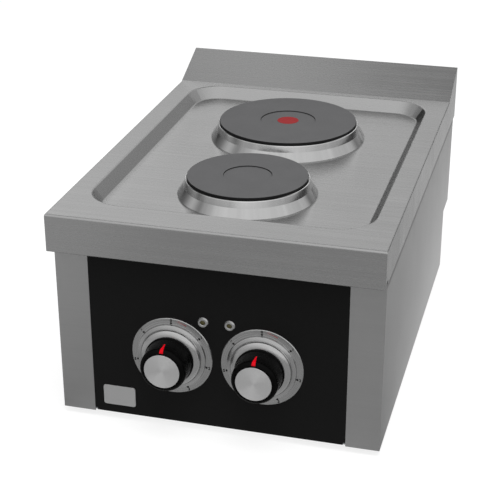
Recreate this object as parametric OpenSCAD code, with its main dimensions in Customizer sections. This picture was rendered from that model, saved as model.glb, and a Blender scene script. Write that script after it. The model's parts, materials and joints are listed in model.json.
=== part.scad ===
// Two-plate electric boiling top: a pressed stainless worktop on a folded sheet
// housing, with two cast-iron hotplates, two rotary switches and two pilot lamps.
// +X is to the right, +Y to the back, +Z up.

/* [Worktop] */
// Width of the worktop
top_w = 390; // [370:1:450]
// Depth from the apron to the back of the upstand
top_d = 585; // [570:1:680]
// Height of the work surface above the underside of the housing
top_h = 261; // [230:1:320]
// Sheet thickness of the worktop pressing
top_t = 1.5; // [1:0.1:2]
// Height of the apron folded down along the front
apron_h = 46; // [46:1:60]
// Height of the flanges folded down at the sides and the back
flange_h = 44; // [30:1:45]
// Depth of the hem folded back under the apron
hem_d = 12; // [6:1:14]
// Outside radius of the apron's top bend
bend_r = 3; // [2.5:0.5:5]
// Bevel along the apron's lower edge
apron_bevel = 0.8; // [0.4:0.1:1.2]
// Length of the relief in each side flange behind the apron
relief_d = 12.5; // [6:0.5:16]
// Height of the relief in each side flange
relief_h = 5.5; // [2:0.5:10]
// Outside radius of the bends along the two sides
side_bend_r = 1.8; // [0.5:0.1:2.4]
// Rise of the upstand above the work surface
upstand_h = 29; // [15:1:60]
// Depth of the upstand's sloping face
upstand_d = 74; // [50:1:76]
// Radius of the bend at the foot of the upstand
crease_r = 4; // [2:1:14]
// Outside radius of the bend along the top of the upstand
peak_r = 2.5; // [2.2:0.1:4]

/* [Spill well] */
// Flat margin between each side edge and the well
well_side = 26; // [20:1:32]
// Flat margin between the apron and the well
well_front = 45; // [38:1:50]
// Flat margin between the well and the foot of the upstand
well_back = 10; // [8:1:16]
// Depth of the well
well_depth = 15.5; // [12:0.5:16.5]
// Plan radius of the well's corners
well_corner_r = 46; // [30:1:55]
// Width that the sloping wall takes in plan
well_run = 11.5; // [4:0.5:13]
// Radius of the bends at the top and the foot of the wall
well_bend_r = 3; // [2.5:0.5:4]

/* [Hotplates] */
// Diameter of the front hotplate
front_plate_d = 145; // [140:1:150]
// Diameter of the rear hotplate
rear_plate_d = 180; // [174:1:182]
// From the front edge of the well to the centre of the front plate
front_plate_in = 111.5; // [106:0.5:116]
// Distance between the two plate centres
plate_pitch = 204.5; // [202:0.5:208]
// Height of the plates' faces above the work surface
plate_rise = 8; // [6:0.5:12]
// Height of the whole casting
cast_h = 18; // [16:0.5:20]
// Thickness of the casting's heating face
cast_t = 9; // [7:0.5:10]
// Radius of the rounded top edge of the casting
cast_edge_r = 0.8; // [0.4:0.1:1.5]
// Height of the plate's full-width edge band
edge_band = 6; // [5:0.5:8]
// Step inwards under the edge band
edge_step = 2; // [1.5:0.1:3]
// Depth of the recess in the middle of each plate
recess_depth = 1.2; // [0.5:0.1:2]
// Radius of the middle recess as a share of the plate's radius
recess_share = 0.397; // [0.3:0.001:0.45]
// Number of ribs that part the heating coils under a plate
coil_ribs = 4; // [2:1:5]
// Thickness of a coil rib
rib_t = 3; // [2:0.5:4]
// Radius of the casting's centre boss
boss_r = 11; // [9:0.5:13]
// How far the ribs stay above the casting's lower edge
rib_lift = 1.5; // [0.5:0.1:3]
// Width of the recess's sloping edge
recess_slope = 0.5; // [0.2:0.1:1]

/* [Overflow rims] */
// Sheet thickness of a rim
rim_t = 0.8; // [0.6:0.1:1]
// Gap between a rim and the edge of its plate
rim_gap = 0.6; // [0.4:0.1:1]
// How far the plate's face stands above the rim's lip
lip_drop = 3; // [2:0.5:4]
// Height of the steep upper band of a rim
band_h = 8.5; // [6:0.5:10]
// Width that the steep band takes in plan
band_run = 2.2; // [1.5:0.1:3.5]
// Width that the flared lower band takes in plan
flare_run = 7.3; // [4:0.1:8]
// Height of the upright hem round a rim's foot
rim_hem_h = 1.2; // [1:0.1:3]
// Radius of the bend between a rim's flare and its hem
rim_hem_r = 1; // [0.9:0.1:2]

/* [Plate fixings] */
// Gap between a plate's skirt and its opening in the worktop
opening_gap = 3.5; // [2:0.5:5]
// Sheet thickness of a plate's bottom cover
cover_t = 0.8; // [0.6:0.1:1.2]
// Depth of the dish in the bottom cover
cover_dish = 5; // [3:0.5:6]
// Clearance between the bottom cover and the stud
cover_play = 0.5; // [0.2:0.1:1]
// Radius of the centre stud
stud_r = 4; // [3:0.5:5]
// Length of the centre stud below the casting's boss
stud_len = 33; // [29:1:40]
// Width of the clamp bridge
bridge_w = 30; // [24:1:36]
// Thickness of the clamp bridge
bridge_t = 3; // [2:0.5:4]
// Height of the bridge's stiffening flanges
bridge_flange = 8; // [4:1:10]
// Bearing of the bridge on the worktop at each end
bridge_bearing = 14; // [8:1:16]
// Number of poles in a plate's ceramic terminal block
block_poles = 4; // [2:1:5]
// Width of the plate's ceramic terminal block
block_w = 36; // [30:1:42]
// Depth of the ceramic terminal block
block_d = 18; // [14:1:20]
// Height of the ceramic terminal block
block_h = 16; // [12:1:20]
// Radius of the screw holes in the terminal blocks
pole_screw_r = 2.3; // [1.8:0.1:2.5]
// Radius of the wire holes in the terminal blocks
pole_wire_r = 1.7; // [1.2:0.1:2]
// Height of the wire holes in the terminal blocks
pole_wire_z = 5; // [4:0.5:6]

/* [Housing] */
// Sheet thickness of the housing
sheet_t = 1.5; // [1:0.1:2]
// Setback of the legs and the fascia behind the apron
setback = 19; // [18:0.5:26]
// Width of each front leg
leg_w = 40; // [34:1:44]
// Depth of the fold inside each front leg
leg_fold = 12; // [8:1:16]
// Width of the folded flanges inside the housing
flange_w = 14; // [12:1:16]
// Height of the notch at the lower rear
notch_h = 86; // [80:1:110]
// Depth of the notch at the lower rear
notch_d = 48; // [44:1:60]
// Play between neighbouring sheets
sheet_gap = 0.2; // [0.1:0.05:0.3]
// How much narrower the side's top flange is than its bottom one
flange_trim = 2; // [1:0.5:4]
// Number of vent slots on each side of the rear panel
vent_count = 7; // [3:1:8]
// Distance of the first vent slot from the middle of the rear panel
vent_x = 39; // [30:1:50]
// Length of a vent slot
vent_len = 60; // [30:1:80]
// Width of a vent slot
vent_w = 4; // [3:0.5:6]
// Distance between vent slots
vent_pitch = 16; // [12:0.5:18]
// Number of vent slots on each side of the base tray
base_vent_count = 6; // [2:1:6]
// Distance of the base tray's vent slots from the middle
base_vent_x = 65; // [50:1:80]

/* [Feet] */
// Height of the rubber feet
foot_h = 8; // [6:1:12]
// Radius of the rubber feet
foot_r = 13; // [11:0.5:15]
// How much a foot narrows towards the ground
foot_taper = 2; // [0.5:0.5:3]
// Radius of the pocket for the screw's head under a foot
foot_pocket_r = 5; // [5:0.5:7]
// Distance of the feet in from the side edges
foot_in = 45; // [40:1:50]
// Distance of the front feet from the apron, and of the rear feet from the notch
foot_end = 60; // [52:1:70]

/* [Control front] */
// Thickness of the black fascia
fascia_t = 2; // [1.5:0.5:3]
// Gap between the fascia and the feet end of the legs
fascia_lift = 1.5; // [1:0.1:3]
// Side of the small notches in the fascia's lower corners
fascia_notch = 3; // [2:0.5:5]
// Distance of each dial centre from the middle
dial_x = 54; // [52:0.5:58]
// Height of the dial centres above the underside of the housing
dial_z = 90; // [80:1:110]
// Outer radius of a dial
dial_r = 49; // [44:0.5:50]
// Chamfer round the dial's outer edge
dial_chamfer = 0.8; // [0.2:0.1:0.9]
// Thickness of the dial's metal
dial_t = 1.2; // [1:0.1:1.6]
// Radius of the raised collar at its foot
collar_foot_r = 39; // [37.5:0.5:41]
// Radius of the raised collar at the edge of its face
collar_face_r = 35.8; // [33:0.1:36.5]
// Height of the raised collar round the knob
collar_h = 10.5; // [8:0.5:12]
// How far the collar's face falls away towards its edge
collar_fall = 2.3; // [0.5:0.1:3]
// Chamfer round the collar's face
collar_chamfer = 0.6; // [0.2:0.1:1]
// Clearance between the knob's hub and the hole through the dial
hub_gap = 3; // [2:0.5:5]
// Distance of each pilot lamp from the middle
pilot_x = 15.8; // [12:0.1:20]
// Height of the pilot lamps above the dial centres
pilot_rise = 48.8; // [46:0.1:55]
// Outer radius of a pilot lamp's bezel
bezel_r = 6.5; // [5.5:0.1:8]
// How far the bezel stands out of the fascia
bezel_h = 2.4; // [1.5:0.1:4]
// Radius of the pilot lens
lens_r = 2.9; // [2:0.1:4]
// Height of the lens's dome, which ends level with the bezel
lens_dome = 1; // [0.5:0.1:1.2]
// Chamfer round the opening of the bezel
bezel_chamfer = 0.5; // [0.2:0.1:1]
// Radius of the lamp holder behind the fascia
holder_r = 4.8; // [4.5:0.1:5.2]
// Length of the lamp holder behind the fascia
holder_len = 26; // [18:1:36]
// Wall of the lamp holder, and the step of its shoulder
holder_wall = 1.5; // [1:0.1:2]

/* [Knobs] */
// Length of a knob
knob_len = 28.2; // [24:0.1:34]
// Gap between a knob and its dial
knob_gap = 0.8; // [0.4:0.1:0.9]
// Radius of the lip round the back of a knob
knob_lip_r = 29.4; // [28:0.1:31]
// Height of the lip
knob_lip_h = 1.6; // [1:0.1:3]
// Slope between the lip and the side of the knob
lip_slope = 0.6; // [0.3:0.1:1]
// Radius of the knob's side at the back
knob_back_r = 28.3; // [27.2:0.1:28.6]
// Radius of the knob's side at the front
knob_front_r = 27.2; // [26:0.1:27.8]
// Radius of the rounded shoulder
shoulder_r = 5.6; // [4:0.1:5.8]
// Wall of the knob's hollow back
knob_wall = 2.4; // [1.8:0.1:3]
// How much the hollow back narrows inwards
knob_draft = 1; // [0.5:0.1:2]
// Depth of the knob's hollow back
knob_hollow = 19; // [14:0.5:20]
// Radius of the hub inside the knob
hub_r = 7; // [6:0.5:9]
// Setback of the hub inside the knob
hub_back = 2; // [1:0.5:4]
// Radius of the metal cap
cap_r = 21.3; // [18:0.1:21.5]
// Thickness of the metal cap
cap_t = 1.2; // [0.8:0.1:2]
// Chamfer round the metal cap
cap_chamfer = 0.3; // [0.1:0.1:0.6]
// Length of the red pointer
pointer_len = 14.5; // [10:0.5:18]
// Width of the pointer at the cap
pointer_w = 4.6; // [3:0.1:6]
// Width of the pointer at its tip
pointer_tip_w = 1.2; // [0.8:0.1:2]
// Depth of the pointer's groove
pointer_sink = 0.9; // [0.6:0.1:1.2]
// How far the pointer stands proud
pointer_proud = 0.2; // [0.1:0.05:0.4]
// Gap between the pointer and the cap's face
pointer_start = 0.3; // [0.2:0.1:1]

/* [Switches] */
// Radius of the switch spindle
spindle_r = 3; // [2.5:0.5:4]
// Running clearance round the spindle
spindle_play = 0.05; // [0.02:0.01:0.09]
// Depth of the flat on the spindle
spindle_flat = 1; // [0.5:0.1:1.4]
// Length of the spindle inside the knob
spindle_grip = 14; // [10:0.5:15]
// Length of the spindle inside the switch
spindle_root = 26; // [15:1:34]
// Width of the switch body
switch_w = 44; // [38:1:48]
// Height of the switch body
switch_h = 48; // [46:1:56]
// Depth of the switch body
switch_d = 40; // [36:1:50]
// Depth of the switch's rear cover
switch_cover_d = 4; // [2:0.5:8]
// How far the rear cover stands in from the switch's sides
switch_cover_in = 3; // [1:0.5:5]
// Distance of the switch screws above and below the spindle
switch_screw_z = 17; // [15:0.5:18]
// Length of a switch screw inside the switch
switch_screw_len = 7; // [5:0.5:9]

/* [Connections] */
// Distance of the cable gland in from the right side
gland_in = 75; // [60:1:90]
// Height of the gland and the earth stud above the underside of the housing
gland_z = 43; // [36:1:48]
// Radius of the gland's bore
gland_bore_r = 6.25; // [5:0.25:7]
// Radius of the gland's thread
gland_thread_r = 10; // [9:0.5:11]
// Across-corners radius of the gland's hexagon
gland_hex_r = 13.5; // [12.5:0.5:15]
// Thickness of the gland's hexagon and of its nut
gland_hex_h = 5; // [4:0.5:7]
// Radius of the gland's domed cap
gland_cap_r = 11.5; // [11:0.5:13]
// Radius of the rounding at the cap's end
gland_round_r = 5; // [3:0.5:5]
// Length of the gland inside the housing
gland_root = 12; // [8:0.5:16]
// Length of the gland outside the housing
gland_reach = 23; // [18:0.5:28]
// Distance between the equipotential stud and the gland
earth_pitch = 60; // [45:1:80]
// Radius of the equipotential stud
earth_r = 3; // [2.5:0.5:4]
// Length of the equipotential stud inside the housing
earth_root = 13.5; // [8:0.5:20]
// Length of the equipotential stud outside the housing
earth_reach = 20; // [15:0.5:26]
// Distance of the mains terminal block in front of the lower rear skin
mains_in = 108; // [90:1:120]
// Width of the mains terminal block
mains_w = 66; // [50:1:80]
// Depth of the mains terminal block
mains_d = 22; // [18:1:26]
// Height of the mains terminal block's base
mains_base_h = 12; // [9:1:14]
// Depth of the raised bank that holds the clamping screws
mains_bank_d = 14; // [8:1:16]
// Height of the mains terminal block
mains_h = 20; // [16:1:24]
// Number of poles in the mains terminal block
mains_poles = 5; // [3:1:6]

/* [Screws] */
// Radius of the small machine screws
screw_r = 2; // [1.5:0.25:2.5]
// Height of a screw's head
head_h = 1.4; // [1:0.1:1.5]
// Clearance round a screw in its hole
screw_play = 0.2; // [0.1:0.05:0.4]
// Length of a screw that stands out past what it holds
screw_end = 3; // [1:0.5:4]
// Distance of the end screws under the base from the ends of the base
base_screw_in = 70; // [30:1:100]
// Height of the lower rear screws above the notch
rear_screw_low = 25; // [15:1:40]
// Distance of the upper rear screws below the worktop's flange
rear_screw_high = 12; // [10:1:20]

/* [Hidden] */
$fn = 64;

// Overlap that makes a cut run cleanly past a face
cut = 1;
// The knobs stand out in front of the apron, so they set the front of the whole part
knob_reach = collar_h + knob_gap + knob_len - setback;
front_y = knob_reach - (top_d + knob_reach) / 2;

// Nuts: corner radius and height as shares of the bore's radius
nut_share = 1.9;
nut_h_share = 1.6;

// Worktop and well
top_under = top_h - top_t;
slope_y = top_d - upstand_d;
peak_at = [top_d - peak_r, upstand_h - peak_r];
slope_a = atan(peak_at.y / (peak_at.x - slope_y)) + asin(peak_r / norm(peak_at - [slope_y, 0]));
crease_at = [slope_y - crease_r * tan(slope_a / 2), crease_r];
well_x = top_w / 2 - well_side;
well_y0 = well_front;
well_y1 = slope_y - well_back;
well_floor = top_h - well_depth;
wall_turn = atan(well_depth / well_run);

// Plates
front_r = front_plate_d / 2;
rear_r = rear_plate_d / 2;
front_y_at = well_y0 + front_plate_in;
rear_y_at = front_y_at + plate_pitch;
plate_z = top_h + plate_rise;
cast_under = plate_z - cast_h;
cover_under = cast_under - cover_dish - cover_t;
floor_under = well_floor - top_t;

// Housing
side_x = top_w / 2 - top_t;
housing_back = top_d - top_t;
notch_y = top_d - notch_d;
panel_x = side_x - leg_w;
panel_back = setback + fascia_t + sheet_t;
tray_x = side_x - sheet_t - sheet_gap;
tray_y0 = panel_back + sheet_gap;
tray_y1 = notch_y - sheet_t - sheet_gap;
fold_z = flange_w + sheet_gap;
foot_x = top_w / 2 - foot_in;
foot_y = [foot_end, notch_y - foot_end];
rear_skin_y = housing_back - 2 * sheet_t;
screw_x = side_x - sheet_t - flange_w / 2;
base_screw_y = [tray_y0 + base_screw_in, (tray_y0 + tray_y1) / 2, tray_y1 - base_screw_in];
rear_screw_z = [notch_h + rear_screw_low, top_h - flange_h - rear_screw_high];

// Connections
gland_x = top_w / 2 - gland_in;
earth_x = gland_x - earth_pitch;

// ---- Shared shapes ----

// Moves a piece from the apron's foot to the part's own origin
module place() translate([0, front_y, foot_h]) children();

// Turns a solid built along +Z so that it points forwards from the face at y
module forwards(x, y, z) translate([x, y, z]) rotate([90, 0, 0]) children();

// Points along an arc about c, from angle a0 to angle a1
function arc(c, r, a0, a1, n = 6) =
    [for (i = [0:n]) c + r * [cos(a0 + (a1 - a0) * i / n), sin(a0 + (a1 - a0) * i / n)]];

function backwards(list) = [for (i = [len(list) - 1:-1:0]) list[i]];

// Unit normal to the left of the run from a to b
function normal(a, b) = [a.y - b.y, b.x - a.x] / norm(b - a);

// A line of points moved sideways by t, with its corners mitred
function beside(p, t) = [for (i = [0:len(p) - 1])
    let (n0 = normal(p[max(i - 1, 0)], p[max(i, 1)]),
         n1 = normal(p[min(i, len(p) - 2)], p[min(i + 1, len(p) - 1)]))
    p[i] + t * (n0 + n1) / (1 + n0 * n1)];

// Outline of a sheet of thickness t that follows a line of points
function sheet_section(p, t) = concat(p, backwards(beside(p, t)));

// A straight slot with round ends, cut through along Z
module slot(len, w, depth) {
    for (s = [-1, 1]) translate([s * (len - w) / 2, 0, 0]) cylinder(r = w / 2, h = depth);
    translate([-(len - w) / 2, -w / 2, 0]) cube([len - w, w, depth]);
}

// Hexagonal nut with a round bore, from z = 0 upwards
module nut(bore, h) difference() {
    cylinder(r = bore * nut_share, h = h, $fn = 6);
    translate([0, 0, -cut]) cylinder(r = bore, h = h + 2 * cut);
}

// Pan-head screw: the head stands above z = 0 and the shank runs down
module screw(len) rotate_extrude() polygon([[0, -len], [screw_r, -len], [screw_r, 0],
    [2 * screw_r, 0], [2 * screw_r, head_h / 3], [1.4 * screw_r, head_h], [0, head_h]]);

// ---- Worktop ----

// Section from a corner's centre outwards: skin = 0 is the upper face of the
// sheet and skin = top_t the under face
function well_section(skin) =
    let (reach = well_bend_r * tan(wall_turn / 2),
         lift = skin == 0 ? cut : -skin / 2,
         foot = [well_corner_r - well_run - reach, well_bend_r - well_depth],
         brow = [well_corner_r + reach, -well_bend_r])
    concat([[0, -well_depth - skin]],
        arc(foot, well_bend_r + skin, -90, wall_turn - 90),
        arc(brow, well_bend_r - skin, 90 + wall_turn, 90),
        [[brow.x, lift], [0, lift]]);

// Carries a section round the well: four turned corners, four straight runs and a core
module around_well(section) {
    x = well_x - well_corner_r;
    y0 = well_y0 + well_corner_r;
    y1 = well_y1 - well_corner_r;
    low = section[0].y;
    high = section[len(section) - 1].y;
    for (c = [[x, y1, 0], [-x, y1, 90], [-x, y0, 180], [x, y0, 270]])
        translate([c.x, c.y, 0]) rotate([0, 0, c.z]) rotate_extrude(angle = 90) polygon(section);
    for (s = [0, 1]) mirror([s, 0, 0])
        translate([x, y1, 0]) rotate([90, 0, 0]) linear_extrude(y1 - y0) polygon(section);
    translate([-x, y1, 0]) rotate([90, 0, 90]) linear_extrude(2 * x) polygon(section);
    translate([-x, y0, 0]) mirror([0, 1, 0]) rotate([90, 0, 90])
        linear_extrude(2 * x) polygon(section);
    translate([-x, y0, low]) cube([2 * x, y1 - y0, high - low]);
}

// Side view of the folded shell: skin = 0 is the outside and skin = top_t the inside
function shell_section(skin) =
    let (low = skin == 0 ? -flange_h : -apron_h - cut)
    concat([[skin, low]],
        arc([bend_r, -bend_r], bend_r - skin, 180, 90),
        arc(crease_at, crease_r + skin, -90, slope_a - 90),
        arc(peak_at, peak_r - skin, 90 + slope_a, 0),
        [[top_d - skin, low]]);

module shell(skin) translate([skin - top_w / 2, 0, 0]) rotate([90, 0, 90])
    linear_extrude(top_w - 2 * skin) polygon(shell_section(skin));

module side_bend() translate([top_w / 2 - side_bend_r, slope_y, -side_bend_r])
    rotate([90, 0, 0]) linear_extrude(slope_y + cut) difference() {
        square(side_bend_r + cut);
        circle(r = side_bend_r);
    }

// Relief that lets the side flange fold down behind the apron
module corner_relief() translate([side_x - cut, top_t, -flange_h - cut])
    cube([top_t + 2 * cut, relief_d, relief_h + cut]);

module worktop() color("silver") place() translate([0, 0, top_h]) difference() {
    union() {
        difference() {
            shell(0);
            shell(top_t);
        }
        around_well(well_section(top_t));
        translate([-top_w / 2, 0, -apron_h]) cube([top_w, top_t, apron_h - bend_r]);
        translate([top_t - top_w / 2, 0, -apron_h]) cube([top_w - 2 * top_t, hem_d, top_t]);
    }
    around_well(well_section(0));
    for (s = [0, 1]) mirror([s, 0, 0]) {
        side_bend();
        corner_relief();
    }
    translate([0, 0, -apron_h]) rotate([45, 0, 0])
        cube([top_w + 2 * cut, sqrt(2) * apron_bevel, sqrt(2) * apron_bevel], center = true);
    for (p = [[front_y_at, front_r], [rear_y_at, rear_r]])
        translate([0, p[0], -well_depth - top_t - cut])
            cylinder(r = p[1] - edge_step + opening_gap, h = top_t + 2 * cut);
}

// ---- Hotplates ----

// Half section of a casting of radius r, with its face at z = 0
function cast_section(r) =
    let (recess_r = r * recess_share,
         skirt_r = r - edge_step,
         wall_r = skirt_r - rib_t,
         rib_pitch = (wall_r - boss_r) / (coil_ribs + 1))
    concat([[0, -recess_depth], [recess_r, -recess_depth], [recess_r + recess_slope, 0]],
        arc([r - cast_edge_r, -cast_edge_r], cast_edge_r, 90, 0),
        [[r, -edge_band], [skirt_r, -edge_band], [skirt_r, -cast_h], [wall_r, -cast_h]],
        [[wall_r, -cast_t]],
        [for (i = [coil_ribs:-1:1], k = [0:3])
            let (m = boss_r + i * rib_pitch)
            [m + (k < 2 ? 1 : -1) * rib_t / 2, k == 0 || k == 3 ? -cast_t : rib_lift - cast_h]],
        [[boss_r, -cast_t], [boss_r, -cast_h], [0, -cast_h]]);

module hotplate(r, y) color("dimgray") place() translate([0, y, plate_z])
    rotate_extrude($fn = 128) polygon(cast_section(r));

// Half section of a rim: a ledge that carries the plate, a rounded lip, a steep
// band and a flared skirt whose upright hem stands on the well's floor
function rim_section(r) =
    let (ledge = plate_z - edge_band,
         ledge_r = r - edge_step + sheet_gap,
         wall_r = r + rim_gap,
         crown = [wall_r + rim_t, plate_z - lip_drop - rim_t],
         brow = [crown.x + rim_t, crown.y],
         step = [brow.x + band_run, plate_z - lip_drop - band_h],
         hem = [step.x + flare_run, well_floor + rim_hem_h],
         foot = [hem.x, well_floor],
         inside = beside([brow, step, hem, foot], -rim_t),
         tilt = atan(flare_run / (step.y - hem.y)),
         bend_at = hem - rim_hem_r * [1, tan(tilt / 2)])
    concat([[ledge_r, ledge], [wall_r, ledge], [wall_r, crown.y]],
        arc(crown, rim_t, 180, 0),
        [step],
        arc(bend_at, rim_hem_r, tilt, 0),
        [foot, inside[3], inside[2], inside[1], inside[0]],
        [[crown.x, ledge - rim_t], [ledge_r, ledge - rim_t]]);

module overflow_rim(r, y) color("gainsboro") place() translate([0, y, 0])
    rotate_extrude($fn = 128) polygon(rim_section(r));

module plate_cover(r, y) color("lightsteelblue") place() translate([0, y, cast_under - cover_t])
    rotate_extrude($fn = 128) polygon(sheet_section([[stud_r + cover_play, -cover_dish],
        [r - edge_step - 3 * rib_t, -cover_dish], [r - edge_step - 2 * rib_t, 0],
        [r - edge_step, 0]], cover_t));

module plate_stud(y) color("slategray") place()
    translate([0, y, cast_under - stud_len]) cylinder(r = stud_r, h = stud_len);

module clamp_bridge(r, y) color("slategray") place() translate([0, y, floor_under - bridge_t])
    difference() {
        len = 2 * (r - edge_step + opening_gap + bridge_bearing);
        union() {
            translate([-len / 2, -bridge_w / 2, 0]) cube([len, bridge_w, bridge_t]);
            for (s = [0, 1]) mirror([0, s, 0])
                translate([-len / 2, bridge_w / 2 - bridge_t, -bridge_flange])
                    cube([len, bridge_t, bridge_flange + bridge_t]);
        }
        translate([0, 0, -cut]) cylinder(r = stud_r + screw_play, h = bridge_t + 2 * cut);
    }

module clamp_nut(y) color("slategray") place()
    translate([0, y, floor_under - bridge_t - nut_h_share * stud_r])
        nut(stud_r, nut_h_share * stud_r);

// Ceramic block hung under a plate's cover, clear of the bridge
module terminal_block(y, side) color("linen") place()
    translate([0, y + side * (bridge_w / 2 + block_d), cover_under - block_h]) difference() {
        translate([-block_w / 2, -block_d / 2, 0]) cube([block_w, block_d, block_h]);
        for (i = [0:block_poles - 1]) {
            x = (i + 0.5 - block_poles / 2) * block_w / (block_poles + 0.5);
            translate([x, 0, -cut]) cylinder(r = pole_screw_r, h = block_h / 2);
            translate([x, block_d / 2 + cut, pole_wire_z]) rotate([90, 0, 0])
                cylinder(r = pole_wire_r, h = block_d + 2 * cut);
        }
    }

// ---- Housing ----

// One side wall with its front leg, folded flanges and rear notch, as seen on the right
module side_panel(side) color("silver") place() mirror([side < 0 ? 1 : 0, 0, 0]) difference() {
    union() {
        translate([side_x - sheet_t, 0, 0]) rotate([90, 0, 90]) linear_extrude(sheet_t)
            polygon([[setback, 0], [notch_y, 0], [notch_y, notch_h], [housing_back, notch_h],
                     [housing_back, top_under], [setback, top_under]]);
        translate([panel_x, setback, 0]) cube([leg_w, sheet_t, top_under]);
        translate([panel_x, setback, fold_z]) cube([sheet_t, leg_fold, top_under - fold_z]);
        translate([side_x - sheet_t - flange_w, panel_back + 2 * sheet_t, sheet_t])
            cube([flange_w + sheet_t, tray_y1 - panel_back - 4 * sheet_t, sheet_t]);
        translate([side_x - sheet_t - flange_w + flange_trim, setback, top_under - sheet_t])
            cube([flange_w + sheet_t - flange_trim, housing_back - setback, sheet_t]);
        translate([side_x - sheet_t - flange_w, housing_back - sheet_t, notch_h])
            cube([flange_w + sheet_t, sheet_t, top_under - notch_h]);
    }
    for (y = base_screw_y) translate([screw_x, y, 0]) cylinder(r = screw_r, h = 3 * sheet_t);
    for (z = rear_screw_z) forwards(screw_x, housing_back + cut, z)
        cylinder(r = screw_r + screw_play, h = sheet_t + 2 * cut);
}

module base_tray() color("silver") place() difference() {
    union() {
        translate([-tray_x, tray_y0, 0]) cube([2 * tray_x, tray_y1 - tray_y0, sheet_t]);
        for (y = [tray_y0, tray_y1 - sheet_t]) translate([-tray_x, y, 0])
            cube([2 * tray_x, sheet_t, flange_w]);
    }
    for (s = [-1, 1], y = base_screw_y) translate([s * screw_x, y, -cut])
        cylinder(r = screw_r + screw_play, h = sheet_t + 2 * cut);
    for (s = [-1, 1], y = foot_y) translate([s * foot_x, y, -cut])
        cylinder(r = screw_r + screw_play, h = sheet_t + 2 * cut);
    for (s = [-1, 1], i = [0:base_vent_count - 1])
        translate([s * base_vent_x, (tray_y0 + tray_y1) / 2
            + (2 * i + 1 - base_vent_count) * vent_pitch, -cut])
            slot(vent_len, vent_w, sheet_t + 2 * cut);
}

// Folded back: an upper skin, a shelf over the notch and a lower skin for the connections
module rear_panel() color("silver") place() difference() {
    translate([-tray_x, 0, 0]) rotate([90, 0, 90]) linear_extrude(2 * tray_x)
        polygon(sheet_section([[notch_y - sheet_t, 0], [notch_y - sheet_t, notch_h + sheet_t],
            [rear_skin_y, notch_h + sheet_t], [rear_skin_y, top_under - sheet_t - sheet_gap]],
            -sheet_t));
    for (s = [-1, 1], z = rear_screw_z) forwards(s * screw_x, housing_back, z)
        cylinder(r = screw_r, h = 3 * sheet_t);
    for (s = [-1, 1], i = [0:vent_count - 1])
        forwards(s * (vent_x + i * vent_pitch), housing_back, (notch_h + top_h) / 2)
            rotate([0, 0, 90]) slot(vent_len, vent_w, 3 * sheet_t);
    forwards(gland_x, notch_y + cut, gland_z)
        cylinder(r = gland_thread_r + screw_play, h = sheet_t + 2 * cut);
    forwards(earth_x, notch_y + cut, gland_z)
        cylinder(r = earth_r + screw_play, h = sheet_t + 2 * cut);
}

module foot(side, i) color("black") place() translate([side * foot_x, foot_y[i], -foot_h])
    difference() {
        cylinder(r1 = foot_r - foot_taper, r2 = foot_r, h = foot_h);
        translate([0, 0, -cut]) cylinder(r = foot_pocket_r, h = foot_h / 2 + cut);
        cylinder(r = screw_r + screw_play, h = foot_h + cut);
    }

module foot_screws() color("slategray") place()
    for (s = [-1, 1], y = foot_y) translate([s * foot_x, y, -foot_h / 2]) mirror([0, 0, 1])
        screw(foot_h / 2 + sheet_t + nut_h_share * screw_r + screw_end);

module foot_nuts() color("slategray") place()
    for (s = [-1, 1], y = foot_y) translate([s * foot_x, y, sheet_t])
        nut(screw_r, nut_h_share * screw_r);

module base_screws() color("slategray") place()
    for (s = [-1, 1], y = base_screw_y) translate([s * screw_x, y, 0]) mirror([0, 0, 1])
        screw(2 * sheet_t + screw_end);

module rear_screws() color("slategray") place()
    for (s = [-1, 1], z = rear_screw_z) translate([s * screw_x, housing_back, z])
        rotate([-90, 0, 0]) screw(2 * sheet_t + screw_end);

// ---- Control front ----

module control_fascia() color([0.1, 0.1, 0.1]) place() difference() {
    translate([sheet_gap - panel_x, setback, fascia_lift])
        cube([2 * (panel_x - sheet_gap), fascia_t, top_under - sheet_gap - fascia_lift]);
    for (s = [-1, 1]) {
        translate([s * panel_x, setback + fascia_t / 2, fascia_lift])
            cube([2 * fascia_notch, fascia_t + cut, 2 * fascia_notch], center = true);
        front_holes(s, setback + fascia_t);
    }
}

// Holes for one switch and one pilot lamp, cut forwards from the face at y
module front_holes(s, y) {
    forwards(s * dial_x, y + cut, dial_z) cylinder(r = 2 * spindle_r, h = fascia_t + 2 * cut);
    for (k = [-1, 1]) forwards(s * dial_x, y + cut, dial_z + k * switch_screw_z)
        cylinder(r = screw_r + screw_play, h = fascia_t + 2 * cut);
    forwards(s * pilot_x, y + cut, dial_z + pilot_rise)
        cylinder(r = holder_r + screw_play, h = fascia_t + 2 * cut);
}

// Steel panel behind the fascia that carries the switches
module switch_panel() color("silver") place() difference() {
    union() {
        translate([sheet_gap - panel_x, setback + fascia_t, sheet_t])
            cube([2 * (panel_x - sheet_gap), sheet_t, top_under - sheet_t - sheet_gap]);
        translate([sheet_gap - panel_x, setback + fascia_t, top_under - sheet_t - sheet_gap])
            cube([2 * (panel_x - sheet_gap), leg_fold, sheet_t]);
    }
    for (s = [-1, 1]) front_holes(s, panel_back);
}

// Half section of a turned dial: flat scale ring, tapered collar and a coned face
// that rises to the flat behind the knob
function dial_section() =
    let (edge_z = collar_h - collar_fall,
         flat_r = knob_lip_r + knob_gap,
         hole_r = hub_r + hub_gap)
    [[collar_foot_r - dial_t, 0], [dial_r, 0], [dial_r, dial_t - dial_chamfer],
     [dial_r - dial_chamfer, dial_t], [collar_foot_r, dial_t],
     [collar_face_r, edge_z - collar_chamfer], [collar_face_r - collar_chamfer, edge_z],
     [flat_r, collar_h], [hole_r, collar_h], [hole_r, collar_h - dial_t],
     [flat_r, collar_h - dial_t], [collar_face_r - dial_t, edge_z - dial_t]];

module dial(side) color("silver") place() forwards(side * dial_x, setback, dial_z)
    rotate_extrude($fn = 128) polygon(dial_section());

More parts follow.
